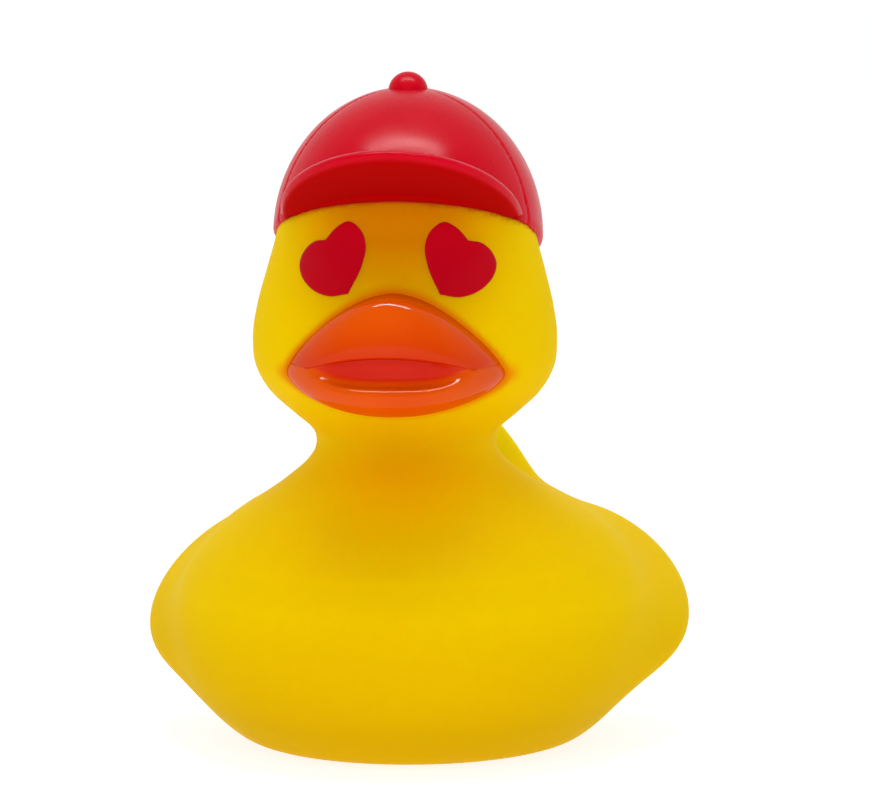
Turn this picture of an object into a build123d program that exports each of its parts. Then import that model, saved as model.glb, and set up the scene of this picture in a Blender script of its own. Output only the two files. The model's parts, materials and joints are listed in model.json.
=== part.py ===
"""Duck-shaped floating chlorine dispenser for small pools and spas.

Millimetres, +Z up, the duck looks along -Y.  The origin is the middle of the flat base, on the axis of the
tablet canister.  The hull is one hollow moulding.  The dispenser is a canister that telescopes down out of a
sealed well in the base, closed below by a quick-thread lid that carries a rotating flow dial.
"""

import os
from math import cos, radians, sin

from build123d import *

# --- hull, head, wings and tail -----------------------------------------------------------------------------
wall = 2.2
hull_half_width, hull_half_length = 70.5, 84.0
base_radius = 46.0
head_axis_y = -22.0
hull_profile = [
    *((base_radius, 0), (61, 11), (68.5, 24), (hull_half_width, 38), (67, 54)),
    *((58, 67), (36, 78), (17, 82), (0, 83)),
]
neck_profile = [
    *((52, 61), (48.5, 71.5), (42.5, 77), (36, 81.4), (30.4, 85.6), (27.3, 90), (28.2, 94.6), (32.6, 99.5)),
]
head_profile = [
    *((38.6, 106), (43, 113), (44.4, 122), (43.2, 131), (40.6, 141), (38.2, 149)),
    *((35.8, 159), (30.5, 171), (19.5, 183), (0, 188.5)),
]
wing_half_axes, wing_centre, wing_tilt = (18.5, 44.0, 21.0), (60.8, 19.0, 36.2), 16.0
tail_half_axes, tail_centre, tail_lean = (33.0, 11.5, 42.0), (0.0, 60.0, 65.0), 40.0
profile_steps = 28

# --- cap, bill and eyes -------------------------------------------------------------------------------------
cap_centre, cap_half_axes = (0.0, -16.0, 151.0), (39.3, 45.0, 42.0)
cap_tilt, cap_rim_y, cap_rim_z = 19.0, -18.0, 150.0
skin_gap = 0.1
brim_tilt, brim_thickness, brim_root_y, brim_root_z = 22.0, 2.6, -36.0, 160.5
brim_half_width, brim_reach = 35.0, 49.0
button_radius, button_top, button_y = 5.8, 198.5, -16.0
bill_y, bill_half_width, bill_reach = -50.0, 32.0, 39.0
bill_corner_z, bill_peak_z, bill_chin_z = 113.0, 138.0, 101.0
lip_top_z, lip_bottom_z = 119.5, 116.5
lower_lip_z = 112.0
eye_x, eye_z, eye_thickness = 18.2, 147.0, 0.5

# --- well, fixed to the hull floor --------------------------------------------------------------------------
floor_thickness, pocket_depth = 6.0, 3.8
flange_radius, flange_thickness = 42.0, 3.0
well_radius, well_wall, well_height, well_cap_thickness = 32.0, 2.0, 67.5, 2.5
mouth_radius, mouth_height = 30.5, 8.0
hull_hole_radius = 34.4
screw_circle, screw_count, screw_radius = 38.0, 6, 1.5
screw_head_radius, screw_head_height, screw_length = 2.75, 1.6, 9.0
clamp_outer, clamp_thickness = 44.0, 3.5
ballast_outer, ballast_height, ballast_circle, ballast_count = 50.0, 8.0, 46.5, 3
seal_z, seal_radius = 4.0, 0.9
drain_y, drain_radius, drain_head_radius = 48.5, 3.0, 4.2
eyelet_distance, eyelet_bore, eyelet_wall, eyelet_flange = 29.0, 2.5, 1.0, 5.5
boss_radius, boss_half_length = 7.0, 8.5

# --- canister -----------------------------------------------------------------------------------------------
canister_radius, canister_wall, canister_bottom, canister_top = 30.0, 2.0, 5.2, 66.0
canister_flange_radius, canister_flange_height = 31.7, 3.0
key_width, key_reach, key_clearance = 4.0, 1.4, 0.3
slot_width, slot_height, slot_columns, slot_rows, slot_pitch, slot_z = 3.0, 11.0, 14, 3, 14.5, 28.0
vent_radius = 1.4

# --- lid, flow dial and tablets -----------------------------------------------------------------------------
lid_bottom, lid_rim_top, lid_radius = 0.6, 5.0, 29.7
plug_radius, plug_wall, plug_top = 26.2, 2.0, 17.0
recess_radius, recess_top, web_top = 21.0, 6.6, 9.0
thread_lead, thread_starts, lug_arc, rib_arc = 12.0, 3, 50.0, 260.0
thread_height, thread_reach, lug_z, rib_rise = 1.2, 1.2, 7.0, 1.35
lug_angle, rib_angle = 35.0, 15.0
grate_width, boss_radius_in_lid = 1.6, 4.5
dial_radius, dial_bottom, dial_top = 20.6, 4.5, 6.4
grip_length, grip_width, grip_bottom = 36.0, 4.5, 1.2
window_count, window_inner, window_outer, window_angle = 5, 7.0, 16.5, 32.0
pivot_radius, pivot_clearance = 2.0, 0.06
stop_circle, stop_radius, dial_travel = 18.7, 0.8, 36.0
tablet_radius, tablet_height, tablet_ring, tablet_layers = 12.7, 17.0, 15.0, 2

standing = (Align.CENTER, Align.CENTER, Align.MIN)


def write(part, label):
    """Labels a finished piece and writes its STEP file."""
    part.label = label
    export_step(part, f"parts/{label}.step")


def ring(outer, inner, bottom, top):
    """A plain ring about the Z axis."""
    with BuildPart() as body:
        with BuildSketch(Plane.XY.offset(bottom)):
            Circle(outer)
            if inner > 0:
                Circle(inner, mode=Mode.SUBTRACT)
        extrude(amount=top - bottom)
    return body.part


# --- the duck's skin ----------------------------------------------------------------------------------------
def grown_profile(points, grow):
    """Points along a smooth curve through the given ones, moved outwards along its normals by grow."""
    curve = Edge.make_spline([Vector(*point) for point in points])
    moved = []
    for step in range(profile_steps + 1):
        here, way = curve @ (step / profile_steps), curve % (step / profile_steps)
        moved.append((max(0.0, here.X + grow * way.Y), here.Y - grow * way.X))
    return moved


def turned_form(points, grow):
    """A solid turned about Z from a profile that ends on the axis."""
    outline = grown_profile(points, grow)
    with BuildPart() as body:
        with BuildSketch(Plane.XZ):
            with BuildLine():
                Polyline(*outline[:-1], (0, outline[-1][1]), (0, outline[0][1]), outline[0])
            make_face()
        revolve(axis=Axis.Z)
    return body.part


def hull_form(grow=0.0, low=0.0):
    """The boat-shaped body: a turned form stretched along Y, cut off flat at the height low."""
    with BuildPart() as body:
        add(turned_form(hull_profile, grow))
        scale(by=(1.0, hull_half_length / hull_half_width, 1.0))
        split(bisect_by=Plane.XY.offset(low), keep=Keep.TOP)
    return body.part


def head_form(grow=0.0):
    """Shoulders, neck and head, turned about a vertical axis through the neck."""
    return turned_form(neck_profile + head_profile, grow).moved(Location((0, head_axis_y, 0)))


def ellipsoid(half_axes, centre, tilt_x=0.0):
    """An ellipsoid turned about X by tilt_x degrees."""
    with BuildPart() as blob:
        Sphere(1)
        scale(by=tuple(float(half) for half in half_axes))
    return blob.part.moved(Location(centre, (tilt_x, 0, 0)))


def wing_and_tail_forms(grow=0.0):
    """Both wings and the tail."""
    wing = [half + grow for half in wing_half_axes]
    tail = [half + grow for half in tail_half_axes]
    x, y, z = wing_centre
    return [
        ellipsoid(wing, (x, y, z), wing_tilt),
        ellipsoid(wing, (-x, y, z), wing_tilt),
        ellipsoid(tail, tail_centre, -tail_lean),
    ]


def eyelet_plane():
    """The plane through the tail's mid-thickness at the tether eyelet, its normal along the eyelet."""
    lean = radians(tail_lean)
    _, y, z = tail_centre
    origin = (0, y + eyelet_distance * sin(lean), z + eyelet_distance * cos(lean))
    return Plane(origin=origin, x_dir=(1, 0, 0), z_dir=(0, cos(lean), -sin(lean)))


def make_duck_hull():
    """The hollow yellow moulding: body, wings, tail, neck and head in one piece."""
    across_tail = eyelet_plane()
    with BuildPart() as duck_hull:
        add(hull_form())
        add(head_form())
        for form in wing_and_tail_forms():
            add(form)
        add(hull_form(-wall, floor_thickness), mode=Mode.SUBTRACT)
        add(head_form(-wall), mode=Mode.SUBTRACT)
        for form in wing_and_tail_forms(-wall):
            add(form, mode=Mode.SUBTRACT)
        with BuildSketch(across_tail.offset(-boss_half_length)):
            Circle(boss_radius)
        extrude(amount=2 * boss_half_length)
        with BuildSketch(across_tail.offset(-boss_half_length)):
            Circle(eyelet_bore + eyelet_wall)
        extrude(amount=2 * boss_half_length, mode=Mode.SUBTRACT)
        for step in (1, -1):
            with BuildSketch(across_tail.offset(step * boss_half_length)):
                Circle(eyelet_flange + 0.1)
            extrude(amount=3 * step, mode=Mode.SUBTRACT)
        add(ring(flange_radius + 0.3, 0, 0, pocket_depth), mode=Mode.SUBTRACT)
        add(ring(hull_hole_radius, 0, 0, floor_thickness + 1), mode=Mode.SUBTRACT)
        with Locations(*[(p.X, p.Y, 0) for p in screw_points()]):
            Cylinder(screw_radius + 0.1, 3 * floor_thickness, mode=Mode.SUBTRACT)
        with Locations((0, drain_y, 0)):
            Cylinder(drain_radius, 3 * floor_thickness, mode=Mode.SUBTRACT)
            Cylinder(drain_head_radius + 0.2, 4.4, mode=Mode.SUBTRACT)
    return duck_hull.part


def screw_points():
    """Where the flange screws stand."""
    with PolarLocations(screw_circle, screw_count, start_angle=30) as spots:
        return [spot.position for spot in spots.locations]


# --- cap, bill and eyes -------------------------------------------------------------------------------------
def rim_plane():
    """The plane of the cap's rim, normal upwards and tilted back."""
    tilt = radians(cap_tilt)
    return Plane(origin=(0, cap_rim_y, cap_rim_z), x_dir=(1, 0, 0), z_dir=(0, sin(tilt), cos(tilt)))


def brim_plane():
    """The plane of the brim's middle, through its root."""
    tilt = radians(brim_tilt)
    return Plane(origin=(0, brim_root_y, brim_root_z), x_dir=(1, 0, 0), z_dir=(0, sin(tilt), cos(tilt)))


def make_cap(head_outside):
    crown = ellipsoid(cap_half_axes, cap_centre)
    with BuildPart() as cap_crown:
        add(crown)
        split(bisect_by=rim_plane(), keep=Keep.TOP)
        add(head_outside, mode=Mode.SUBTRACT)
    with BuildPart() as cap_brim:
        with BuildSketch(brim_plane().offset(-brim_thickness / 2)):
            Ellipse(brim_half_width, brim_reach)
        extrude(amount=brim_thickness)
        fillet(cap_brim.edges(), 0.9)
        split(bisect_by=Plane.XZ.offset(-brim_root_y), keep=Keep.TOP)
        add(crown, mode=Mode.SUBTRACT)
        add(head_outside, mode=Mode.SUBTRACT)
    with BuildPart() as cap_button:
        with Locations((0, button_y, button_top - button_radius)):
            Sphere(button_radius)
            Cylinder(button_radius, button_radius, align=(Align.CENTER, Align.CENTER, Align.MAX))
        add(crown, mode=Mode.SUBTRACT)
    return cap_crown.part, cap_brim.part, cap_button.part


def bill_half(top_edge, bottom_edge, front_outline, head_outside):
    """One half of the bill: its plan, its side profile and its front outline, all three intersected."""
    with BuildPart() as half:
        with BuildSketch(Plane.XY.offset(bill_chin_z - 10)):
            with Locations((0, bill_y)):
                Ellipse(bill_half_width, bill_reach)
        extrude(amount=70)
        with BuildSketch(Plane.YZ):
            with BuildLine():
                upper = Spline(*top_edge)
                lower = Spline(*bottom_edge)
                ThreePointArc(
                    upper @ 1, ((upper @ 1).X - 1.4, ((upper @ 1).Y + (lower @ 1).Y) / 2), lower @ 1
                )
                Line(upper @ 0, lower @ 0)
            make_face()
        extrude(amount=60, both=True, mode=Mode.INTERSECT)
        with BuildSketch(Plane.XZ):
            with BuildLine():
                front_outline()
            make_face()
        extrude(amount=200, both=True, mode=Mode.INTERSECT)
        add(head_outside, mode=Mode.SUBTRACT)
    return half.part


def make_bill(head_outside):
    front_y = bill_y - bill_reach + 1.5
    corner = (bill_half_width, bill_corner_z)

    def upper_outline():
        Spline((-corner[0], corner[1]), (0, bill_peak_z), corner, tangents=((1.0, 0.7), (1.0, -0.7)))
        Line(corner, (-corner[0], corner[1]))

    def lower_outline():
        ThreePointArc((-corner[0], lower_lip_z), (0, bill_chin_z), (corner[0], lower_lip_z))
        Line((corner[0], lower_lip_z), (-corner[0], lower_lip_z))

    crest = [(bill_y, bill_peak_z + 5), (bill_y - 13, bill_peak_z - 1), (bill_y - 26, lip_top_z + 6)]
    upper_bill = bill_half(
        [*crest, (front_y, lip_top_z)],
        [(bill_y, bill_corner_z + 1.5), (front_y, lip_bottom_z)],
        upper_outline,
        head_outside,
    )
    lower_bill = bill_half(
        [(bill_y, lower_lip_z), (front_y + 3, lower_lip_z - 0.5)],
        [(bill_y, bill_chin_z), (bill_y - 22, bill_chin_z + 1), (front_y + 3, lower_lip_z - 4.5)],
        lower_outline,
        head_outside,
    )
    return upper_bill, lower_bill


def make_eye(side):
    """A heart-shaped print on the head; side is 1 for the duck's left eye and -1 for its right."""
    with BuildPart() as eye:
        with BuildSketch(Plane.XZ):
            with BuildLine():
                Spline((-2.4, 5.3), (4.6, 10.9), (10.0, 3.8), (5.0, -9.7))
                Spline((5.0, -9.7), (-1.5, -10.6), (-9.6, -5.2), (-8.6, 2.3), (-2.4, 5.3))
            make_face()
        extrude(amount=60, both=True)
    prism = eye.part if side < 0 else eye.part.mirror(Plane.YZ)
    prism = prism.moved(Location((side * eye_x, -60, eye_z)))
    with BuildPart() as heart:
        add(head_form(eye_thickness + skin_gap))
        add(head_form(skin_gap), mode=Mode.SUBTRACT)
        add(prism, mode=Mode.INTERSECT)
        split(bisect_by=Plane.XZ.offset(-head_axis_y), keep=Keep.TOP)
    return heart.part


# --- well and its fixings -----------------------------------------------------------------------------------
def make_well_tube():
    """A tube with a fixing flange below, a narrower mouth, and two keys that stop the canister turning."""
    with BuildPart() as well_tube:
        add(ring(well_radius + well_wall, well_radius, mouth_height, well_height))
        add(ring(well_radius + well_wall, mouth_radius, 0, mouth_height))
        add(ring(flange_radius, mouth_radius, 0, flange_thickness))
        with PolarLocations(well_radius, 2):
            with Locations((0, 0, mouth_height)):
                Box(
                    2 * key_reach,
                    key_width,
                    well_height - mouth_height,
                    align=standing,
                )
        with Locations((0, 0, seal_z)):
            Torus(mouth_radius + 0.5, seal_radius, mode=Mode.SUBTRACT)
        for point in screw_points():
            with Locations(point):
                Cylinder(screw_radius + 0.1, 3 * flange_thickness, mode=Mode.SUBTRACT)
                Cone(
                    screw_head_radius + 0.1,
                    screw_radius + 0.1,
                    screw_head_height,
                    align=standing,
                    mode=Mode.SUBTRACT,
                )
    return well_tube.part


def make_well_cap():
    """The disc that closes the well, with a spigot inside the tube."""
    with BuildPart() as well_cap:
        add(ring(well_radius + well_wall, 0, well_height, well_height + well_cap_thickness))
        add(ring(well_radius - key_reach - 0.3, well_radius - 4, well_height - 1.0, well_height))
    return well_cap.part


def make_seal():
    """The wiping ring in the mouth's groove, flattened on its inner side where the canister runs."""
    with BuildPart() as wiper_seal:
        with Locations((0, 0, seal_z)):
            Torus(mouth_radius + 0.5, seal_radius - 0.02)
        add(ring(canister_radius + 0.04, 0, 0, 2 * seal_z), mode=Mode.SUBTRACT)
    return wiper_seal.part


def make_gasket():
    with BuildPart() as hull_gasket:
        add(ring(flange_radius - 0.5, hull_hole_radius, flange_thickness, pocket_depth))
        with Locations(*screw_points()):
            Cylinder(screw_radius + 0.1, 20, mode=Mode.SUBTRACT)
    return hull_gasket.part


def make_clamp_ring():
    top = floor_thickness + clamp_thickness
    with BuildPart() as clamp_ring:
        add(ring(clamp_outer, hull_hole_radius, floor_thickness, top))
        with PolarLocations(ballast_circle, ballast_count, start_angle=90):
            with Locations((0, 0, floor_thickness)):
                Cylinder(4.0, clamp_thickness, align=standing)
                Cylinder(1.5, 30, mode=Mode.SUBTRACT)
        with Locations(*screw_points()):
            Cylinder(screw_radius, 30, mode=Mode.SUBTRACT)
    return clamp_ring.part


def make_ballast_ring():
    low = floor_thickness + clamp_thickness
    with BuildPart() as ballast_ring:
        add(ring(ballast_outer, hull_hole_radius, low, low + ballast_height))
        with PolarLocations(ballast_circle, ballast_count, start_angle=90):
            Cylinder(1.6, 60, mode=Mode.SUBTRACT)
        fillet(ballast_ring.edges().group_by(Axis.Z)[-1].sort_by(SortBy.LENGTH)[-1], 1.5)
    return ballast_ring.part


def make_flange_screws():
    with BuildPart() as flange_screws:
        for point in screw_points():
            with Locations(point):
                Cone(
                    screw_head_radius,
                    screw_radius,
                    screw_head_height,
                    align=standing,
                )
                Cylinder(screw_radius, screw_length, align=standing)
                Box(3.6, 0.7, 1.6, mode=Mode.SUBTRACT)
                Box(0.7, 3.6, 1.6, mode=Mode.SUBTRACT)
    return flange_screws.part


def make_ballast_screws():
    top = floor_thickness + clamp_thickness + ballast_height
    with BuildPart() as ballast_screws:
        with PolarLocations(ballast_circle, ballast_count, start_angle=90):
            with Locations((0, 0, floor_thickness + 0.5)):
                Cylinder(1.5, top - floor_thickness - 0.5, align=standing)
            with Locations((0, 0, top)):
                Cylinder(2.9, 2.0, align=standing)
            with Locations((0, 0, top + 2.0)):
                Box(5.0, 0.8, 1.6, mode=Mode.SUBTRACT)
    return ballast_screws.part


def make_drain_plug():
    with BuildPart() as drain_plug:
        with Locations((0, drain_y, 0.3)):
            Cylinder(drain_head_radius, 1.3, align=standing)
            Cylinder(drain_radius - 0.05, 5.2, align=standing)
            Box(6.5, 1.2, 1.6, mode=Mode.SUBTRACT)
    return drain_plug.part


def make_drain_seal():
    with BuildPart() as drain_seal:
        with Locations((0, drain_y, 1.6)):
            Cylinder(drain_head_radius, 0.6, align=standing)
            Cylinder(drain_radius, 3, mode=Mode.SUBTRACT)
    return drain_seal.part


def make_eyelet():
    """A flanged tube through the tail for a tether cord."""
    across_tail = eyelet_plane()
    with BuildPart() as tether_eyelet:
        with BuildSketch(across_tail.offset(-boss_half_length)):
            Circle(eyelet_bore + eyelet_wall)
        extrude(amount=2 * boss_half_length)
        for step in (1, -1):
            with BuildSketch(across_tail.offset(step * boss_half_length)):
                Circle(eyelet_flange)
            extrude(amount=step)
        with BuildSketch(across_tail.offset(-boss_half_length - 1)):
            Circle(eyelet_bore)
        extrude(amount=2 * boss_half_length + 2, mode=Mode.SUBTRACT)
    return tether_eyelet.part


# --- canister, lid, dial and tablets ------------------------------------------------------------------------
def helical_ribs(radius, reach, z, start_angle, arc):
    """One helical rib on a cylinder for each thread start; reach is outwards, or inwards if negative."""
    root = 0.3 if reach > 0 else -0.3
    with BuildPart() as one_rib:
        with BuildLine():
            path = Helix(thread_lead, thread_lead * arc / 360, radius, center=(0, 0, z))
        with BuildSketch(Plane(origin=path @ 0, x_dir=(1, 0, 0), z_dir=path % 0)):
            with Locations(((reach - root) / 2, 0)):
                Rectangle(abs(reach + root), thread_height)
        sweep(path=path, is_frenet=True)
    with BuildPart() as ribs:
        for start in range(thread_starts):
            add(one_rib.part.rotate(Axis.Z, start_angle + start * 360 / thread_starts))
    return ribs.part


def make_canister():
    """A slotted cup, open below, with a stop flange above and thread lugs inside its mouth."""
    inner = canister_radius - canister_wall
    key_gap = key_width + 2 * key_clearance
    with BuildPart() as canister:
        add(ring(canister_radius, inner, canister_bottom, canister_top - canister_flange_height))
        add(ring(canister_flange_radius, inner, canister_top - canister_flange_height, canister_top))
        with PolarLocations(well_radius, 2):
            with Locations((0, 0, canister_top)):
                Box(2 * (key_reach + key_clearance), key_gap, 20, mode=Mode.SUBTRACT)
        for row in range(slot_rows):
            with PolarLocations(canister_radius, slot_columns):
                with Locations((0, 0, slot_z + row * slot_pitch)):
                    Box(3 * canister_wall, slot_width, slot_height, mode=Mode.SUBTRACT)
        add(helical_ribs(inner, -thread_reach, lug_z, lug_angle, lug_arc))
    return canister.part


def make_canister_cap():
    """A vented disc seated in the canister's upper end."""
    inner = canister_radius - canister_wall
    with BuildPart() as canister_cap:
        add(ring(inner, 0, canister_top - 2.5, canister_top))
        for circle, count in ((8, 6), (15, 10), (22, 14)):
            with PolarLocations(circle, count):
                with Locations((0, 0, canister_top)):
                    Cylinder(vent_radius, 20, mode=Mode.SUBTRACT)
    return canister_cap.part


def sector_windows(bottom, height):
    """Wedge-shaped water windows round the lid's axis."""
    with BuildSketch() as window:
        with BuildLine():
            outer = CenterArc((0, 0), window_outer, -window_angle / 2, window_angle)
            inner = CenterArc((0, 0), window_inner, -window_angle / 2, window_angle)
            Line(inner @ 0, outer @ 0)
            Line(inner @ 1, outer @ 1)
        make_face()
    with BuildPart() as windows:
        with BuildSketch(Plane.XY.offset(bottom)):
            with PolarLocations(0, window_count):
                add(window.sketch)
        extrude(amount=height)
    return windows.part


def make_lid():
    """The screw-in bottom: a rim, a recessed web with water windows, a grate and a threaded plug."""
    with BuildPart() as bottom_lid:
        add(ring(lid_radius, recess_radius, lid_bottom, lid_rim_top))
        add(ring(plug_radius, recess_radius, lid_rim_top, recess_top))
        add(ring(plug_radius, 0, recess_top, web_top))
        add(ring(plug_radius, plug_radius - plug_wall, web_top, plug_top))
        rib_z = lug_z + rib_rise + thread_lead * (rib_angle - lug_angle) / 360
        add(helical_ribs(plug_radius, thread_reach, rib_z, rib_angle, rib_arc))
        add(sector_windows(recess_top - 1, 5), mode=Mode.SUBTRACT)
        with Locations((0, 0, web_top)):
            Cylinder(boss_radius_in_lid, plug_top - web_top, align=standing)
        with PolarLocations(plug_radius / 2, window_count, start_angle=180 / window_count):
            with Locations((0, 0, web_top)):
                Box(plug_radius - plug_wall, grate_width, plug_top - web_top, align=standing)
        with Locations((0, 0, 0)):
            Cylinder(pivot_radius, 60, mode=Mode.SUBTRACT)
        with Locations((stop_circle, 0, recess_top)):
            Cylinder(stop_radius, 1.8, align=(Align.CENTER, Align.CENTER, Align.MAX))
        with PolarLocations(25.4, 8, start_angle=22.5):
            with Locations((0, 0, lid_bottom)):
                Box(5.0, 2.4, 4.0, mode=Mode.SUBTRACT)
    return bottom_lid.part


def make_flow_dial():
    """The shutter plate with its windows, grip bar and stop slot."""
    with BuildPart() as flow_dial:
        add(ring(dial_radius, 0, dial_bottom, dial_top))
        add(sector_windows(dial_bottom - 1, 5), mode=Mode.SUBTRACT)
        with Locations((0, 0, grip_bottom)):
            Box(grip_width, grip_length, dial_bottom - grip_bottom, align=standing)
            Cylinder(5.0, dial_bottom - grip_bottom, align=standing)
        with Locations((0, 0, grip_bottom)):
            Cylinder(3.6, 2.0, align=standing, mode=Mode.SUBTRACT)
        Cylinder(pivot_radius + pivot_clearance, 60, mode=Mode.SUBTRACT)
        with BuildSketch(Plane.XY.offset(dial_bottom - 1)):
            with BuildLine() as arc:
                CenterArc((0, 0), stop_circle, 0, dial_travel)
            SlotArc(arc.wires()[0], 2 * (stop_radius + 0.25))
        extrude(amount=5, mode=Mode.SUBTRACT)
    return flow_dial.part


def make_dial_screw():
    with BuildPart() as dial_screw:
        with Locations((0, 0, grip_bottom + 0.2)):
            Cylinder(3.3, 1.4, align=standing)
            Cylinder(pivot_radius, web_top + 2 - grip_bottom, align=standing)
            Box(5.0, 0.9, 1.2, mode=Mode.SUBTRACT)
    return dial_screw.part


def make_dial_washer():
    with BuildPart() as dial_washer:
        add(ring(3.4, pivot_radius, grip_bottom + 1.6, grip_bottom + 1.95))
    return dial_washer.part


def make_tablets():
    """Two layers of tablets standing on the lid's grate, the upper layer turned to sit between the lower."""
    tablets = []
    for layer in range(tablet_layers):
        with PolarLocations(tablet_ring, 3, start_angle=60 * layer) as spots:
            points = [spot.position for spot in spots.locations]
        for point in points:
            with BuildPart() as tablet:
                with Locations((point.X, point.Y, plug_top + 0.1 + layer * tablet_height)):
                    Cylinder(tablet_radius, tablet_height, align=standing)
                chamfer(tablet.edges().filter_by(GeomType.CIRCLE), 1.5)
            tablets.append(tablet.part)
    return tablets


def main():
    os.makedirs("parts", exist_ok=True)
    head_outside = head_form(skin_gap)
    cap_crown, cap_brim, cap_button = make_cap(head_outside)
    upper_bill, lower_bill = make_bill(head_outside)
    pieces = {
        "duck_hull": make_duck_hull(),
        "cap_crown": cap_crown,
        "cap_brim": cap_brim,
        "cap_button": cap_button,
        "upper_bill": upper_bill,
        "lower_bill": lower_bill,
        "right_eye": make_eye(-1),
        "left_eye": make_eye(1),
        "well_tube": make_well_tube(),
        "well_cap": make_well_cap(),
        "wiper_seal": make_seal(),
        "hull_gasket": make_gasket(),
        "clamp_ring": make_clamp_ring(),
        "ballast_ring": make_ballast_ring(),
        "flange_screws": make_flange_screws(),
        "ballast_screws": make_ballast_screws(),
        "drain_plug": make_drain_plug(),
        "drain_seal": make_drain_seal(),
        "tether_eyelet": make_eyelet(),
        "canister": make_canister(),
        "canister_cap": make_canister_cap(),
        "bottom_lid": make_lid(),
        "flow_dial": make_flow_dial(),
        "dial_screw": make_dial_screw(),
        "dial_washer": make_dial_washer(),
    }
    for number, tablet in enumerate(make_tablets(), start=1):
        pieces[f"tablet_{number}"] = tablet
    for label, part in pieces.items():
        write(part, label)


main()
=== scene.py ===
"""Duck-shaped floating chlorine dispenser: the looks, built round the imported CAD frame.

The visible vinyl pieces are implicit surfaces: a function of points, in millimetres, that is negative inside
the piece and close to a distance near its surface.  They are meshed on a grid and drawn onto the exact
surface.  The hidden dispenser keeps its CAD meshes and gets procedural materials.
"""

import json
from math import cos, pi, radians, sin

import bpy
import numpy as np
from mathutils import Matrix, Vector


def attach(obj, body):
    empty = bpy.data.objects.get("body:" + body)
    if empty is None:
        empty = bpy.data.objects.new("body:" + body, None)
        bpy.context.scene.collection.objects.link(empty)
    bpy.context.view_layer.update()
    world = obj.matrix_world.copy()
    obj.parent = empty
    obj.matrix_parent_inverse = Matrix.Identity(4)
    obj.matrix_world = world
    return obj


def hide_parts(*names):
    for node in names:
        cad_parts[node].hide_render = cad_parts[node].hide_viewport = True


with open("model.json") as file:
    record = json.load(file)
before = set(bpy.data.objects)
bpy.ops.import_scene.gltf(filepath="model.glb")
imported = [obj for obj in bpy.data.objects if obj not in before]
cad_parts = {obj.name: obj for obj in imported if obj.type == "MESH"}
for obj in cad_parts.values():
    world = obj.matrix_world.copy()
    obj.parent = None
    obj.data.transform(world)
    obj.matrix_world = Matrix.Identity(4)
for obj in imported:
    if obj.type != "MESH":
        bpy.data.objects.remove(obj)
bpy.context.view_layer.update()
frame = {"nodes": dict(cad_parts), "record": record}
MM = 0.001

# --- sizes, in millimetres and degrees ----------------------------------------------------------------------
# Body: an ellipsoid, with a turned head, whose profile is a list of (height, radius), two wings and a tail.
hull_centre, hull_half_axes = (0.0, 0.0, 36.0), (70.5, 84.0, 47.3)
head_profile = [
    (56, 48.5), (62, 45.0), (68, 41.0), (74, 37.0), (80, 32.6), (85, 28.8), (90, 26.3),
    (95, 27.0), (100, 32.4), (106, 38.8), (113, 43.0), (122, 44.2), (131, 43.1), (141, 40.6),
    (149, 38.4), (159, 36.2), (171, 31.0), (181, 21.5), (188, 1.0),
]
neck_axis_y, cheek_forward, cheek_z, cheek_span = -20.0, 6.0, 120.0, 26.0
wing_centre, wing_half_axes, wing_tilt, wing_lean = (49.0, 20.4, 43.6), (12.8, 47.5, 33.4), 20.0, -69.5
tail_centre, tail_half_axes, tail_tilt, tail_taper = (0.0, 60.0, 65.0), (35.0, 11.5, 42.0), -40.0, 0.38
neck_blend, wing_blend, tail_blend, edge_blend = 12.0, 10.0, 12.0, 4.0

# The hull skin's wall, the step it has under the cap, and the holes in it.
skin_wall, floor_thickness, cap_seat = 2.2, 6.0, 2.4
pocket_radius, pocket_depth, hull_hole_radius = 42.3, 3.8, 34.4
drain_y, drain_radius, drain_head_radius, drain_head_depth = 48.5, 3.0, 4.4, 2.2
eyelet_distance, boss_radius, boss_half_length, bore_radius, bore_half_length = 29.0, 7.6, 8.5, 3.45, 20.0
overlap = 0.8  # how far a painted piece reaches into the piece below it

# Cap: an ellipsoid cut by the rim's plane; seams are at these angles from the front, on both sides.
cap_centre, cap_half_axes = (0.0, -15.0, 151.0), (39.3, 45.0, 43.0)
rim_tilt, rim_y, rim_z = 19.5, -18.0, 150.5
seam_angles, seam_depth, seam_width = (66.0, 145.0), 0.45, 0.55
brim_tilt, brim_thickness, brim_root_y, brim_root_z = 25.0, 4.4, -36.0, 158.4
brim_half_width, brim_reach = 35.0, 49.0
button_radius, button_top, button_y = 5.8, 198.5, -15.0

# Bill: heights are at its middle, except the corners', which is where its upper and lower edge meet.
bill_y, bill_half_width, bill_reach, bill_back_y = -50.0, 32.5, 38.0, -42.0
corner_z, peak_z, chin_z, lip_z = 116.0, 138.2, 103.4, 122.6
cheek_radius, corner_thickness, chin_recess, bill_edge = 43.5, 3.0, 6.0, 4.0
face_share, face_squareness = 0.5, 4.0
mouth_line, mouth_rise, mouth_drop, mouth_half_width, mouth_depth = 117.6, 3.9, 4.4, 23.0, 2.6

# Heart prints: the outline's corner points, about the print's own middle.
heart_outline = [
    (-2.4, 5.3), (1.0, 9.1), (4.6, 10.9), (8.6, 8.2), (10.0, 3.8), (9.1, -1.3), (5.2, -9.7),
    (-0.9, -10.6), (-6.7, -8.5), (-9.8, -4.9), (-10.4, -2.1), (-8.9, 1.9), (-5.8, 4.6),
]
heart_tip = 6
heart_scale, eye_x, eye_z, eye_thickness, eye_gap = 0.975, 18.2, 147.2, 0.3, 0.1

# Camera, in metres and degrees; the picture's width is what is seen from side to side at the duck.
camera_distance, camera_azimuth, camera_elevation = 2.0, 4.6, 6.0
aim_height, aim_right, picture_width = 0.1, 0.0069, 0.256717


# --- implicit surfaces --------------------------------------------------------------------------------------
def ramp(value, start, end):
    """0 up to start, 1 from end, and straight between them."""
    return np.clip((value - start) / (end - start), 0, 1)


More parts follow.
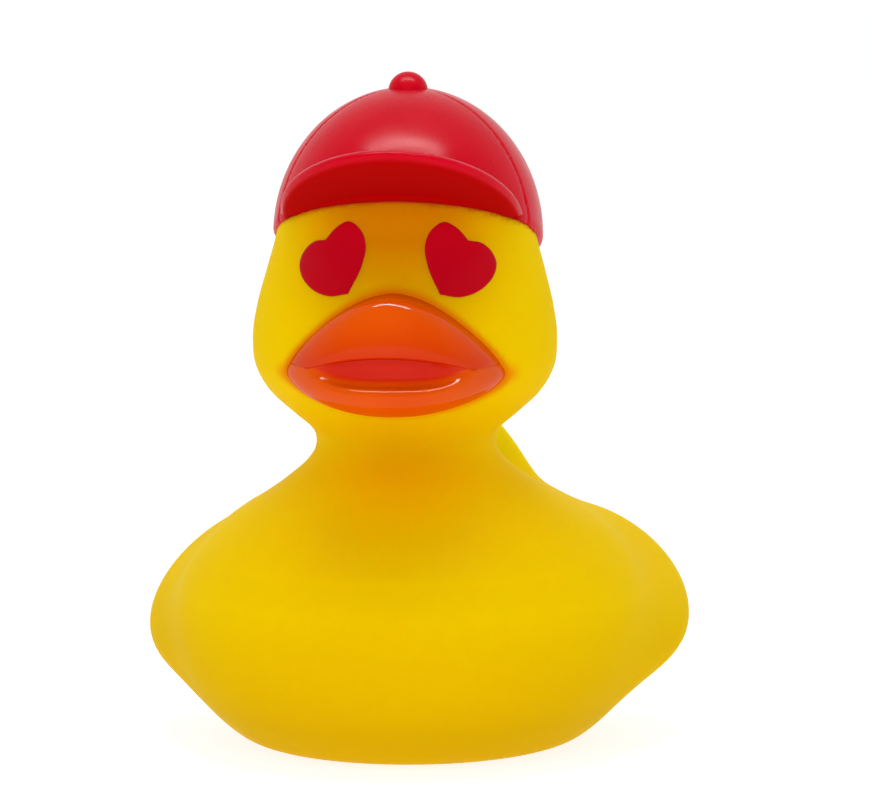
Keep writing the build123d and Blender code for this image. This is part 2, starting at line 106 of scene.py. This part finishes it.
def smooth_min(a, b, blend):
    near = np.maximum(blend - np.abs(a - b), 0.0) / blend
    return np.minimum(a, b) - near * near * blend / 4


def smooth_max(a, b, blend):
    return -smooth_min(-a, -b, blend)


def turned(p, centre, tilt_x=0.0, lean_y=0.0):
    """Points in the frame of a form that stands at centre, turned about Y and then about X, in degrees."""
    q = p - np.array(centre)
    c, s = cos(radians(tilt_x)), sin(radians(tilt_x))
    x, y, z = q[..., 0], c * q[..., 1] + s * q[..., 2], c * q[..., 2] - s * q[..., 1]
    c, s = cos(radians(lean_y)), sin(radians(lean_y))
    return np.stack([c * x - s * z, y, s * x + c * z], axis=-1)


def ellipsoid(p, centre, half_axes, tilt_x=0.0, lean_y=0.0):
    """Distance-like value of an ellipsoid."""
    unit = turned(p, centre, tilt_x, lean_y) / np.array(half_axes)
    size = np.linalg.norm(unit, axis=-1) + 1e-9
    slope = np.linalg.norm(unit / np.array(half_axes), axis=-1) + 1e-9
    return size * (size - 1) / slope


def above_plane(p, degrees, y, z):
    """Height above, and distance back along, a plane through (y, z) that rises towards the front."""
    c, s = cos(radians(degrees)), sin(radians(degrees))
    return s * (p[..., 1] - y) + c * (p[..., 2] - z), c * (p[..., 1] - y) - s * (p[..., 2] - z)


def curve(points):
    """A smooth function through (place, value) points: piecewise cubic, with slopes from the neighbours."""
    places, values = np.array(points, float).T
    slopes = np.gradient(values, places)

    def at(place):
        place = np.clip(place, places[0], places[-1])
        i = np.clip(np.searchsorted(places, place) - 1, 0, len(places) - 2)
        step = places[i + 1] - places[i]
        t = (place - places[i]) / step
        a, b = slopes[i] * step, slopes[i + 1] * step
        ends = values[i] * (2 * t**3 - 3 * t**2 + 1) + values[i + 1] * (3 * t**2 - 2 * t**3)
        return ends + a * (t**3 - 2 * t**2 + t) + b * (t**3 - t**2)

    return at


head_radius = curve(head_profile)


def axis_y(z):
    """Where the neck's and head's axis runs: the cheeks stand a little forward."""
    return neck_axis_y - cheek_forward * np.exp(-(((z - cheek_z) / cheek_span) ** 2))


def head(p):
    """Shoulders, neck and head, turned about an upright axis."""
    z = p[..., 2]
    radius = np.hypot(p[..., 0], p[..., 1] - axis_y(z))
    slope = head_radius(z + 0.5) - head_radius(z - 0.5)
    side = (radius - head_radius(z)) / np.sqrt(1 + np.clip(slope, -3, 3) ** 2)
    return smooth_max(side, head_profile[0][0] - z, edge_blend)


def tail(p):
    """The tail: a tilted ellipsoid that narrows towards its tip, with a boss for the eyelet."""
    q = turned(p, tail_centre, tail_tilt)
    q[..., 0] = q[..., 0] / (1 - tail_taper * np.clip(q[..., 2] / tail_half_axes[2], 0, 1))
    boss = np.hypot(q[..., 0], q[..., 2] - eyelet_distance) - boss_radius
    boss = smooth_max(boss, np.abs(q[..., 1]) - boss_half_length, 1.5)
    return smooth_min(ellipsoid(q, (0.0, 0.0, 0.0), tail_half_axes), boss, 4.0)


def duck(p):
    """The whole vinyl body's outside; its surface steps in under the cap."""
    mirrored = np.stack([np.abs(p[..., 0]), p[..., 1], p[..., 2]], axis=-1)
    body = ellipsoid(p, hull_centre, hull_half_axes)
    body = smooth_min(body, head(p), neck_blend)
    wings = ellipsoid(mirrored, wing_centre, wing_half_axes, wing_tilt, wing_lean)
    body = smooth_min(body, wings, wing_blend)
    body = smooth_min(body, tail(p), tail_blend)
    above, _ = above_plane(p, rim_tilt, rim_y, rim_z)
    body = body + cap_seat * ramp(above, 0.16, 1.76)
    return smooth_max(body, -p[..., 2], edge_blend)


# --- meshing ------------------------------------------------------------------------------------------------
def surface(field, low, high, cell, rounds=4):
    """Vertices and quads of the surface where field is 0: a dual net, drawn onto the exact surface."""
    axes = [np.arange(a, b + cell, cell) for a, b in zip(low, high)]
    grid = np.stack(np.meshgrid(*axes, indexing="ij"), axis=-1)
    values = field(grid)
    shape = np.array(values.shape)
    inside = values < 0
    corners_inside = np.zeros(shape - 1, int)
    for i in (0, 1):
        for j in (0, 1):
            for k in (0, 1):
                end = shape - 1 + (i, j, k)
                corners_inside += inside[i : end[0], j : end[1], k : end[2]]
    mixed = (corners_inside > 0) & (corners_inside < 8)
    index = np.full(shape - 1, -1)
    index[mixed] = np.arange(mixed.sum())
    sums = np.zeros((mixed.sum(), 3))
    hits = np.zeros(mixed.sum())
    quads = []
    for axis in range(3):
        u, v = (axis + 1) % 3, (axis + 2) % 3
        here = np.take(inside, range(shape[axis] - 1), axis)
        there = np.take(inside, range(1, shape[axis]), axis)
        edge = np.argwhere(here != there)
        away_from_border = (edge[:, u] > 0) & (edge[:, v] > 0)
        away_from_border &= (edge[:, u] < shape[u] - 1) & (edge[:, v] < shape[v] - 1)
        edge = edge[away_from_border]
        ahead = edge.copy()
        ahead[:, axis] += 1
        a, b = values[tuple(edge.T)], values[tuple(ahead.T)]
        point = np.array([axes[n][edge[:, n]] for n in range(3)]).T
        point[:, axis] += cell * a / (a - b)
        corners = []
        for du, dv in ((0, 0), (-1, 0), (-1, -1), (0, -1)):
            around = edge.copy()
            around[:, u] += du
            around[:, v] += dv
            spot = index[tuple(around.T)]
            corners.append(spot)
            np.add.at(sums, spot, point)
            np.add.at(hits, spot, 1)
        quad = np.array(corners).T
        rising = a < 0
        quads.append(quad[rising])
        quads.append(quad[~rising][:, ::-1])
    quads = np.concatenate(quads)
    points = sums / hits[:, None]
    for step in range(rounds):
        points = drawn_on(field, relaxed(points, quads) if step < rounds - 1 else points)
    return points, quads


def gradient(field, points, step=0.05):
    slopes = []
    for axis in range(3):
        shift = np.zeros(3)
        shift[axis] = step
        slopes.append((field(points + shift) - field(points - shift)) / (2 * step))
    return np.stack(slopes, axis=-1)


def drawn_on(field, points):
    """The points moved along the field's gradient onto the surface."""
    for _ in range(2):
        slope = gradient(field, points)
        move = field(points)[:, None] * slope / (np.sum(slope**2, axis=1)[:, None] + 1e-6)
        points = points - np.clip(move, -1.0, 1.0)
    return points


def relaxed(points, quads):
    """The points moved half-way to the middle of their neighbours."""
    sums = np.zeros_like(points)
    count = np.zeros(len(points))
    for side in range(4):
        a, b = quads[:, side], quads[:, (side + 1) % 4]
        for one, other in ((a, b), (b, a)):
            np.add.at(sums, one, points[other])
            np.add.at(count, one, 1)
    return points + 0.5 * (sums / count[:, None] - points)


def smoothed(piece, sharp_degrees=40):
    """Smooth shading, except at edges sharper than sharp_degrees."""
    piece.data.shade_smooth()
    piece.data.set_sharp_from_angle(angle=radians(sharp_degrees))
    return piece


def mesh_object(name, points, faces):
    """A Blender object in metres from points in millimetres."""
    mesh = bpy.data.meshes.new(name)
    mesh.from_pydata((np.array(points) * MM).tolist(), [], faces)
    piece = bpy.data.objects.new(name, mesh)
    bpy.context.collection.objects.link(piece)
    return piece


def piece_from(field, name, low, high, cell, rounds=4):
    points, quads = surface(field, low, high, cell, rounds)
    return smoothed(mesh_object(name, points, quads.tolist()))


def loft_faces(rings, count):
    """Faces of a closed solid that runs through rings of count points each."""
    last = (rings - 1) * count
    faces = [list(range(count))[::-1], [last + n for n in range(count)]]
    for ring in range(rings - 1):
        near, far = ring * count, (ring + 1) * count
        for n in range(count):
            m = (n + 1) % count
            faces.append([near + n, near + m, far + m, far + n])
    return faces


def drill(outline, centre=(0, 0, 0), tilt_x=0):
    """A cutting tool turned from (radius, height) points, tilted about X by tilt_x degrees, at centre."""
    turns = 192
    angles = np.arange(turns) * 2 * pi / turns
    x, y, z = np.array([(r * cos(a), r * sin(a), height) for r, height in outline for a in angles]).T
    c, s = cos(radians(tilt_x)), sin(radians(tilt_x))
    points = np.stack([x, c * y - s * z, s * y + c * z], axis=-1) + np.array(centre)
    return mesh_object("drill", points, loft_faces(len(outline), turns))


def cut(piece, tool):
    """Cuts the tool out of the piece and removes the tool."""
    change = piece.modifiers.new("cut", "BOOLEAN")
    change.operation = "DIFFERENCE"
    change.solver = "EXACT"
    change.object = tool
    graph = bpy.context.evaluated_depsgraph_get()
    result = bpy.data.meshes.new_from_object(piece.evaluated_get(graph))
    piece.modifiers.clear()
    old = piece.data
    piece.data = result
    bpy.data.meshes.remove(old)
    bpy.data.objects.remove(tool)


def write_attribute(piece, name, values):
    piece.data.attributes.new(name, "FLOAT", "POINT").data.foreach_set("value", values.astype(np.float32))


def positions(piece):
    """The piece's vertices in millimetres."""
    flat = np.empty(len(piece.data.vertices) * 3)
    piece.data.vertices.foreach_get("co", flat)
    return flat.reshape(-1, 3) / MM


# --- materials ----------------------------------------------------------------------------------------------
def srgb(red, green, blue):
    """A colour given as 0-255 screen values, as linear values."""
    screen = np.array([red, green, blue]) / 255
    linear = np.where(screen <= 0.04045, screen / 12.92, ((screen + 0.055) / 1.055) ** 2.4)
    return (*linear.tolist(), 1.0)


class Shader:
    """A material's node tree, with the few node chains that the materials share."""

    def __init__(self, name):
        self.material = bpy.data.materials.new(name)
        self.material.use_nodes = True
        self.tree = self.material.node_tree
        self.surface = self.tree.nodes["Principled BSDF"]
        self.place = self.tree.nodes.new("ShaderNodeTexCoord").outputs["Object"]

    def node(self, kind, **values):
        node = self.tree.nodes.new(kind)
        for key, value in values.items():
            setattr(node, key, value)
        return node

    def link(self, source, target):
        self.tree.links.new(source, target)

    def set(self, **values):
        """Sets the shader's inputs; an underscore stands for a space."""
        for key, value in values.items():
            self.surface.inputs[key.replace("_", " ")].default_value = value

    def colour(self, source):
        self.link(source, self.surface.inputs["Base Color"])

    def rough(self, source):
        self.link(source, self.surface.inputs["Roughness"])

    def noise(self, scale, detail=3.0, roughness=0.5):
        node = self.node("ShaderNodeTexNoise")
        node.inputs["Scale"].default_value = scale
        node.inputs["Detail"].default_value = detail
        node.inputs["Roughness"].default_value = roughness
        self.link(self.place, node.inputs["Vector"])
        return node.outputs["Fac"]

    def remap(self, value, low, high, to_low, to_high):
        node = self.node("ShaderNodeMapRange")
        numbers = {"From Min": low, "From Max": high, "To Min": to_low, "To Max": to_high}
        for socket, number in numbers.items():
            node.inputs[socket].default_value = number
        self.link(value, node.inputs["Value"])
        return node.outputs["Result"]

    def patches(self, scale, a, b):
        """Soft patches of two close colours."""
        return self.mix(self.remap(self.noise(scale), 0.35, 0.65, 0, 1), a, b)

    def mix(self, factor, a, b):
        """A colour mixed between a and b, each a colour or a socket."""
        node = self.node("ShaderNodeMix", data_type="RGBA")
        self.link(factor, node.inputs["Factor"])
        for socket, colour in ((node.inputs[6], a), (node.inputs[7], b)):
            if isinstance(colour, tuple):
                socket.default_value = colour
            else:
                self.link(colour, socket)
        return node.outputs[2]

    def bump(self, height, depth_mm):
        node = self.node("ShaderNodeBump")
        node.inputs["Distance"].default_value = depth_mm * MM
        self.link(height, node.inputs["Height"])
        self.link(node.outputs["Normal"], self.surface.inputs["Normal"])

    def attribute(self, name):
        return self.node("ShaderNodeAttribute", attribute_name=name).outputs["Fac"]


def vinyl():
    """Soft, slightly translucent yellow vinyl with the paint's soft overspray beside the painted areas,
    painted shade under the brim and bill and towards the base, and painted light on the tail.
    """
    s = Shader("yellow_vinyl")
    colour = s.patches(18, srgb(245, 189, 0), srgb(248, 193, 0))
    # painted shade: darker, warmer orange under the brim and under the bill
    colour = s.mix(s.attribute("painted_shade_under_brim_and_bill"), colour, srgb(212, 126, 0))
    # painted shade: darker towards the base
    colour = s.mix(s.attribute("painted_base_shade"), colour, srgb(214, 164, 0))
    # painted light: a lighter yellow high up on the tail
    colour = s.mix(s.attribute("painted_tail_light"), colour, srgb(252, 214, 4))
    colour = s.mix(s.attribute("orange_spray"), colour, srgb(238, 122, 0))
    s.colour(s.mix(s.attribute("red_spray"), colour, srgb(214, 30, 16)))
    s.rough(s.remap(s.noise(60), 0.3, 0.7, 0.42, 0.52))
    s.set(Subsurface_Weight=0.5, Subsurface_Scale=0.010, Specular_IOR_Level=0.004)
    s.set(Subsurface_Radius=(1.0, 0.55, 0.05))
    s.bump(s.noise(900, 4.0), 0.015)
    return s.material


def paint(name, colour, other, roughness, specular, coat=0.0):
    """Sprayed vinyl paint with a little orange peel; painted shade makes it redder and darker in and towards
    the mouth, and dark under the brim, where it is also dull.
    """
    s = Shader(name)
    # painted shade: dark red under the brim
    base = s.mix(s.attribute("painted_brim_shade"), s.patches(35, colour, other), srgb(176, 0, 0))
    # painted shade: redder and darker in the mouth and towards it
    s.colour(s.mix(s.attribute("painted_mouth_shade"), base, srgb(200, 28, 0)))
    roughest = s.node("ShaderNodeMath", operation="MAXIMUM")
    s.link(s.remap(s.noise(90), 0.3, 0.7, roughness - 0.04, roughness + 0.05), roughest.inputs[0])
    s.link(s.attribute("painted_brim_shade"), roughest.inputs[1])
    s.rough(roughest.outputs["Value"])
    s.set(Specular_IOR_Level=specular, Coat_Weight=coat, Coat_Roughness=0.06)
    s.bump(s.noise(260, 2.0), 0.02)
    return s.material


def plastic(name, colour, other):
    """Moulded polypropylene: faint flow marks and a fine tool texture."""
    s = Shader(name)
    s.colour(s.patches(40, colour, other))
    s.rough(s.remap(s.noise(140), 0.3, 0.7, 0.32, 0.44))
    s.set(Subsurface_Weight=0.12, Subsurface_Scale=0.002)
    s.bump(s.noise(1400, 4.0), 0.015)
    return s.material


def metal(name, colour, other, roughness, grain, depth):
    s = Shader(name)
    s.colour(s.patches(120, colour, other))
    s.rough(s.remap(s.noise(300), 0.3, 0.7, roughness - 0.08, roughness + 0.1))
    s.set(Metallic=1.0)
    s.bump(s.noise(grain, 5.0), depth)
    return s.material


def rubber():
    s = Shader("black_rubber")
    s.colour(s.mix(s.noise(150), srgb(22, 22, 23), srgb(38, 38, 39)))
    s.rough(s.remap(s.noise(400), 0.3, 0.7, 0.55, 0.72))
    s.bump(s.noise(1800, 3.0), 0.02)
    return s.material


def chalk():
    """Pressed chlorine: white, grainy, with darker specks."""
    s = Shader("pressed_chlorine")
    grain = s.noise(1600, 6.0, 0.7)
    s.colour(s.mix(s.remap(grain, 0.30, 0.45, 0, 1), srgb(196, 198, 190), srgb(238, 239, 233)))
    s.set(Roughness=0.85, Subsurface_Weight=0.1, Subsurface_Scale=0.001)
    s.bump(grain, 0.12)
    return s.material


# --- the vinyl skin -----------------------------------------------------------------------------------------
def skin_outside(p):
    """The body with a fillet round the bill's root; the fillet fades out in front of the face."""
    away = duck(p)
    bill_root = bill(p) + 1.0 + 3.0 * np.clip(away - 1.5, 0, None)
    return smooth_min(away, bill_root, 4.0)


def skin_inside(p):
    return smooth_max(duck(p) + skin_wall, floor_thickness - p[..., 2], 2.0)


def make_skin():
    low, high = (-84, -92, -3), (84, 96, 200)
    points, quads = surface(skin_outside, low, high, 1.5)
    inner_points, inner_quads = surface(skin_inside, low, high, 3.2)
    quads = np.concatenate([quads, inner_quads[:, ::-1] + len(points)])
    piece = mesh_object("duck_skin", np.concatenate([points, inner_points]), quads.tolist())
    cut_skin(piece)
    smoothed(piece)
    tint_skin(piece)
    return piece


def cut_skin(piece):
    """The well's pocket and hole, the drain hole and the eyelet's bore."""
    below, above = -2.0, 9.0
    pocket = [(pocket_radius, below), (pocket_radius, pocket_depth)]
    cut(piece, drill([*pocket, (hull_hole_radius, pocket_depth), (hull_hole_radius, above)]))
    drain_head = [(drain_head_radius, below), (drain_head_radius, drain_head_depth)]
    cut(piece, drill([*drain_head, (drain_radius, drain_head_depth), (drain_radius, above)], (0, drain_y, 0)))
    back, up = sin(radians(-tail_tilt)), cos(radians(-tail_tilt))
    eyelet = (0, tail_centre[1] + eyelet_distance * back, tail_centre[2] + eyelet_distance * up)
    bore = [(bore_radius, -bore_half_length), (bore_radius, bore_half_length)]
    cut(piece, drill(bore, eyelet, 90 + tail_tilt))


def tint_skin(piece):
    """Attributes for the vinyl's colours: overspray, painted shade under brim and bill, painted shade towards
    the base, painted light on the tail.
    """
    where = positions(piece)
    x, y, z = where.T
    write_attribute(piece, "orange_spray", ramp(bill(where), 2.75, 0.55) ** 1.5)
    write_attribute(piece, "red_spray", ramp(cap(where), 0.9, 0.0))
    under_brim = np.exp(-((x / 26) ** 4)) * ramp(z, 128, 152)
    under_bill = np.exp(-((x / 24) ** 2) - ((z - 88) / 17) ** 2)
    # painted shade on the front, under the brim and under the bill
    write_attribute(piece, "painted_shade_under_brim_and_bill", np.clip(ramp(y, -20, -40) * (under_brim + 0.44 * under_bill), 0, 1))
    # painted shade, growing towards the base
    write_attribute(piece, "painted_base_shade", ramp(z, 46, 12))
    # painted light on the upper tail
    high_up = 0.5 - 0.5 * np.cos(pi * ramp(z, 66, 92))
    write_attribute(piece, "painted_tail_light", high_up * ramp(y, 45, 60))


# --- cap ----------------------------------------------------------------------------------------------------
def cap(p):
    """The cap's dome with its side seams and a rounded rim."""
    dome = ellipsoid(p, cap_centre, cap_half_axes)
    above, _ = above_plane(p, rim_tilt, rim_y, rim_z)
    around = np.degrees(np.arctan2(np.abs(p[..., 0]), -(p[..., 1] - cap_centre[1])))
    radius = np.hypot(p[..., 0], p[..., 1] - cap_centre[1])
    groove = 0.0
    for seam in seam_angles:
        away = radians(1) * (around - seam) * radius
        groove = groove + seam_depth * np.exp(-((away / seam_width) ** 2)) * ramp(radius, 6, 14)
    return smooth_max(dome + groove, -above, 2.2)


def crown_field(p):
    return smooth_max(cap(p), -overlap - duck(p), 0.5)


def brim_field(p):
    """A flat, rounded plate, half an ellipse in plan, that rises towards the front."""
    above, behind = above_plane(p, brim_tilt, brim_root_y, brim_root_z)
    plan = (np.hypot(p[..., 0] / brim_half_width, behind / brim_reach) - 1) * 0.8 * brim_half_width
    plate = smooth_max(plan, np.abs(above) - brim_thickness / 2, 3.0)
    plate = np.maximum(plate, p[..., 1] - brim_root_y)
    return smooth_max(plate, -overlap - cap(p), 0.3)


def button_field(p):
    """A ball on a short round stem."""
    middle_z = button_top - button_radius
    ball = ellipsoid(p, (0, button_y, middle_z), (button_radius,) * 3)
    stem = np.hypot(p[..., 0], p[..., 1] - button_y) - button_radius
    stem = np.maximum(stem, p[..., 2] - middle_z)
    return smooth_max(np.minimum(ball, stem), -overlap - ellipsoid(p, cap_centre, cap_half_axes), 0.5)


def make_cap():
    crown_box, crown_cell = ((-42, -66, 134), (42, 34, 201)), 0.75
    crown = piece_from(crown_field, "cap_crown_shell", *crown_box, crown_cell, rounds=7)
    where = positions(crown)
    above, _ = above_plane(where, brim_tilt, brim_root_y, brim_root_z)
    # painted shade on the crown's front, under the brim
    write_attribute(crown, "painted_brim_shade", ramp(above, 0.8, -0.2) * ramp(where[:, 1], -33, -37))

    brim_box, brim_cell = ((-38, -86, 158), (38, -34, 190)), 0.7
    brim = piece_from(brim_field, "cap_brim_plate", *brim_box, brim_cell)
    above, _ = above_plane(positions(brim), brim_tilt, brim_root_y, brim_root_z)
    # painted shade on the brim's underside
    write_attribute(brim, "painted_brim_shade", ramp(above, -0.9, -1.9))

    button = piece_from(button_field, "cap_button_knob", (-7, -23, 188), (7, -7, 200), 0.5)
    return crown, brim, button


# --- bill ---------------------------------------------------------------------------------------------------
def bill_plan(p):
    """Distance-like value of the bill's outline seen from above."""
    x, y = p[..., 0], p[..., 1]
    plan = (np.hypot(x / bill_half_width, (y - bill_y) / bill_reach) - 1) * 0.75 * bill_half_width
    return np.where(y > bill_y, np.abs(x) - bill_half_width, plan)


def bill(p):
    """The bill's whole form, without its mouth: its heights run from the lip in front to the face behind."""
    x, y, z = p[..., 0], p[..., 1], p[..., 2]
    across = np.clip(np.abs(x) / bill_half_width, 0, 1)
    lip_y = bill_y - bill_reach * np.sqrt(1 - across**2)
    face_y = neck_axis_y - cheek_forward - np.sqrt(np.maximum(cheek_radius**2 - x**2, 0))
    inward = np.clip((y - lip_y) / np.maximum(face_y - lip_y, 0.5), 0, 1.0)
    lip = lip_z - (lip_z - corner_z) * across**2
    ridge = peak_z - (peak_z - corner_z) * across**1.8
    back = 1 - np.clip(inward / face_share, 0, 1)
    top = lip + (ridge - lip) * (1 - back**face_squareness) ** (1 / face_squareness)
    bottom = chin_z + (corner_z - corner_thickness - chin_z) * across**2.2
    front_rise = mouth_line - mouth_drop - chin_recess - chin_z
    bottom = bottom + front_rise * (1 - across**2) * np.clip(1 - inward, 0, 1) ** 2
    form = smooth_max(z - top, bottom - z, 2.5)
    return np.maximum(smooth_max(form, bill_plan(p), bill_edge), y - bill_back_y)


def mouth_floor(x):
    """How far the mouth reaches down at x; it is almost flat and closes at its corners."""
    return mouth_drop * (1 - (x / mouth_half_width) ** 4)


def mouth(p):
    """The slot between upper and lower bill, which closes towards the corners."""
    opening = 1 - (p[..., 0] / mouth_half_width) ** 2
    height = p[..., 2] - mouth_line
    slot = smooth_max(height - mouth_rise * opening, -height - mouth_floor(p[..., 0]), 0.6)
    return smooth_max(slot, -(bill_plan(p) + mouth_depth * np.clip(1.3 * opening, 0, 1)), 2.0)


def open_bill(p):
    """Both halves of the bill with the mouth cut in, down to the face; the lower lip is the rounder one."""
    rounding = 2.4 - ramp(p[..., 2], mouth_line - 1.5, mouth_line + 1.5)
    return smooth_max(smooth_max(bill(p), -mouth(p), rounding), -overlap - duck(p), 0.5)


def above_split(p):
    """Height above the face where the halves meet, which runs close under the upper lip."""
    opening = np.clip(1 - (p[..., 0] / mouth_half_width) ** 2, 0, 1)
    return p[..., 2] - mouth_line - 0.9 * mouth_rise * opening


def upper_bill(p):
    return np.maximum(open_bill(p), -above_split(p))


def lower_bill(p):
    """The lower half, with a slightly narrower tongue that reaches up into the upper one."""
    above = above_split(p)
    return np.maximum(open_bill(p) + 0.2 * ramp(above, -0.3, 0.0), above - overlap)


def make_bill():
    box, cell = ((-36, -92, 98), (36, -40, 146)), 0.6
    halves = []
    for field, name in ((upper_bill, "upper_bill_shell"), (lower_bill, "lower_bill_shell")):
        half = piece_from(field, name, *box, cell)
        where = positions(half)
        x, _, z = where.T
        away = mouth(where)
        floor_z = mouth_line - np.clip(mouth_floor(x), 0, None)
        # painted shade: the upper bill darkens towards the mouth, and the mouth's inside above its floor is
        # darkest
        shade_toward_mouth = np.where(z > mouth_line, 0.75 * ramp(away, 13.0, 0.0) ** 1.5, 0.0)
        inside = ramp(away, 1.2, 0.0) * ramp(z, floor_z + 0.48, floor_z + 2.08)
        write_attribute(half, "painted_mouth_shade", np.maximum(shade_toward_mouth, inside))
        halves.append(half)
    return halves


# --- heart eyes ---------------------------------------------------------------------------------------------
def heart_ring(steps=16):
    """The heart's outline as a dense ring; smooth except at the notch and the tip."""
    ring = []
    for run in (heart_outline[: heart_tip + 1], heart_outline[heart_tip:] + heart_outline[:1]):
        run = np.array(run)
        place = np.concatenate([[0], np.cumsum(np.linalg.norm(np.diff(run, axis=0), axis=1))])
        at = np.linspace(0, place[-1], steps * len(run), endpoint=False)
        ring.append(np.stack([curve(list(zip(place, run[:, axis])))(at) for axis in (0, 1)], axis=-1))
    return np.concatenate(ring)


def on_face(x, z, lift):
    """Points at x and z on the duck's front, lift above the skin."""
    points = np.stack([x, np.full_like(x, neck_axis_y - 45.0), z], axis=-1)
    for _ in range(12):
        slope = gradient(duck, points)[..., 1]
        slope = np.where(np.abs(slope) < 0.2, 0.2 * np.sign(slope) - 1e-3, slope)
        points[..., 1] -= np.clip((duck(points) - lift) / slope, -4, 4)
    return points


def make_heart(side):
    """A thin heart-shaped print with a rounded edge; side is 1 for the duck's left eye, -1 for its right."""
    outline = heart_scale * heart_ring() * (-side, 1)
    sizes = [0.02, 0.2, 0.4, 0.6, 0.75, 0.87, 0.95, 0.985, 1.0]
    rounded_from = 0.9
    layers = []
    for size in sizes:
        along_edge = max(0.0, size - rounded_from) / (1 - rounded_from)
        layers.append((size, eye_gap + eye_thickness * np.sqrt(max(0.0, 1 - along_edge**2))))
    layers += [(size, eye_gap) for size in sizes[::-1][1:]]
    rings = []
    for size, lift in layers:
        x, z = ((side * eye_x, eye_z) + size * outline).T
        rings.append(on_face(x, z, lift))
    faces = loft_faces(len(rings), len(outline))
    if side < 0:
        faces = [face[::-1] for face in faces]
    name = "left_heart" if side > 0 else "right_heart"
    return smoothed(mesh_object(name, np.concatenate(rings), faces), 50)


# --- camera, floor and light --------------------------------------------------------------------------------
def make_camera():
    data = bpy.data.cameras.new("camera")
    camera = bpy.data.objects.new("camera", data)
    bpy.context.collection.objects.link(camera)
    azimuth, elevation = radians(camera_azimuth), radians(camera_elevation)
    right = Vector((cos(azimuth), sin(azimuth), 0.0))
    away = Vector((sin(azimuth) * cos(elevation), -cos(azimuth) * cos(elevation), sin(elevation)))
    camera.location = Vector((0.0, 0.0, aim_height)) + right * aim_right + away * camera_distance
    camera.rotation_euler = (-away).to_track_quat("-Z", "Y").to_euler()
    data.sensor_width = 36.0
    data.lens = data.sensor_width * camera_distance / picture_width
    data.clip_start, data.clip_end = 0.05, 20.0
    bpy.context.scene.camera = camera


def make_stage():
    """A pale floor that glows a little, so that it meets the white background without a line."""
    side = 3000
    corners = [(-side, -side, 0), (side, -side, 0), (side, side, 0), (-side, side, 0)]
    floor = mesh_object("floor", corners, [(0, 1, 2, 3)])
    floor.location.z = -0.2 * MM  # just under the base, so that the two faces don't coincide
    s = Shader("pale_floor")
    s.set(Base_Color=(0.35, 0.35, 0.35, 1), Roughness=0.9, Specular_IOR_Level=0.0)
    s.set(Emission_Color=(1, 1, 1, 1), Emission_Strength=0.80)
    floor.data.materials.append(s.material)


def make_light(name, place, size, power, reflected=False, diffuse=True):
    """A rectangular lamp that points at the duck's middle; a lamp that isn't reflected gives no highlight."""
    data = bpy.data.lights.new(name, "AREA")
    data.shape = "RECTANGLE"
    data.size, data.size_y = size
    data.energy = power
    lamp = bpy.data.objects.new(name, data)
    lamp.location = place
    lamp.visible_glossy, lamp.visible_diffuse = reflected, diffuse
    aim = Vector((0, 0, aim_height)) - Vector(place)
    lamp.rotation_euler = aim.to_track_quat("-Z", "Y").to_euler()
    bpy.context.collection.objects.link(lamp)


def make_world():
    """White behind and beside the duck, darker behind the camera."""
    world = bpy.data.worlds.new("studio")
    bpy.context.scene.world = world
    world.use_nodes = True
    nodes, links = world.node_tree.nodes, world.node_tree.links
    split = nodes.new("ShaderNodeSeparateXYZ")
    links.new(nodes.new("ShaderNodeTexCoord").outputs["Generated"], split.inputs["Vector"])
    fade = nodes.new("ShaderNodeMapRange")
    numbers = {"From Min": -0.45, "From Max": 0.35, "To Min": 0.2, "To Max": 1.02}
    for socket, number in numbers.items():
        fade.inputs[socket].default_value = number
    links.new(split.outputs["Y"], fade.inputs["Value"])
    links.new(fade.outputs["Result"], nodes["Background"].inputs["Strength"])
    nodes["Background"].inputs["Color"].default_value = (1, 1, 1, 1)
    bpy.context.scene.view_settings.view_transform = "Standard"


# --- putting it together ------------------------------------------------------------------------------------
def stand_in(piece, node, slot):
    """Gives a hull piece its slot's material and puts it in its CAD node's place."""
    piece.data.materials.clear()
    piece.data.materials.append(slot_materials[slot])
    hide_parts(node)
    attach(piece, "hull")


slot_materials = {
    "yellow_vinyl": vinyl(),
    "red_paint": paint("red_paint", srgb(200, 0, 28), srgb(205, 3, 32), roughness=0.27, specular=0.055),
    "orange_paint": paint("orange_paint", srgb(214, 72, 0), srgb(219, 80, 0), 0.30, specular=0.0, coat=0.25),
    "heart_print": paint("heart_print", srgb(182, 0, 24), srgb(188, 0, 22), roughness=0.42, specular=0.05),
    "white_plastic": plastic("white_plastic", srgb(232, 233, 230), srgb(238, 239, 236)),
    "blue_plastic": plastic("blue_plastic", srgb(112, 176, 214), srgb(120, 182, 219)),
    "seal_rubber": rubber(),
    "stainless": metal("stainless_steel", srgb(186, 187, 189), srgb(200, 201, 203), 0.28, 700, 0.004),
    "ballast_iron": metal("coated_iron", srgb(70, 72, 75), srgb(86, 88, 92), 0.5, 500, 0.05),
    "chlorine": chalk(),
}

make_camera()
make_stage()
make_world()
make_light("front_light", (0.0, -1.6, 0.7), (1.4, 1.2), 16)
make_light("top_light", (0.0, -0.15, 1.2), (0.6, 0.4), 3)
make_light("shine_light", (0.0, -0.16, 1.2), (1.1, 0.16), 28, reflected=True, diffuse=False)

for part in frame["record"]["subparts"]:
    node = frame["nodes"][part["node"]]
    node.data.materials.clear()
    node.data.materials.append(slot_materials[part["material_slot"]])

stand_in(make_skin(), "duck_hull", "yellow_vinyl")
for piece, node in zip(make_cap(), ("cap_crown", "cap_brim", "cap_button")):
    stand_in(piece, node, "red_paint")
for side, node in ((1, "left_eye"), (-1, "right_eye")):
    stand_in(make_heart(side), node, "heart_print")
for piece, node in zip(make_bill(), ("upper_bill", "lower_bill")):
    stand_in(piece, node, "orange_paint")
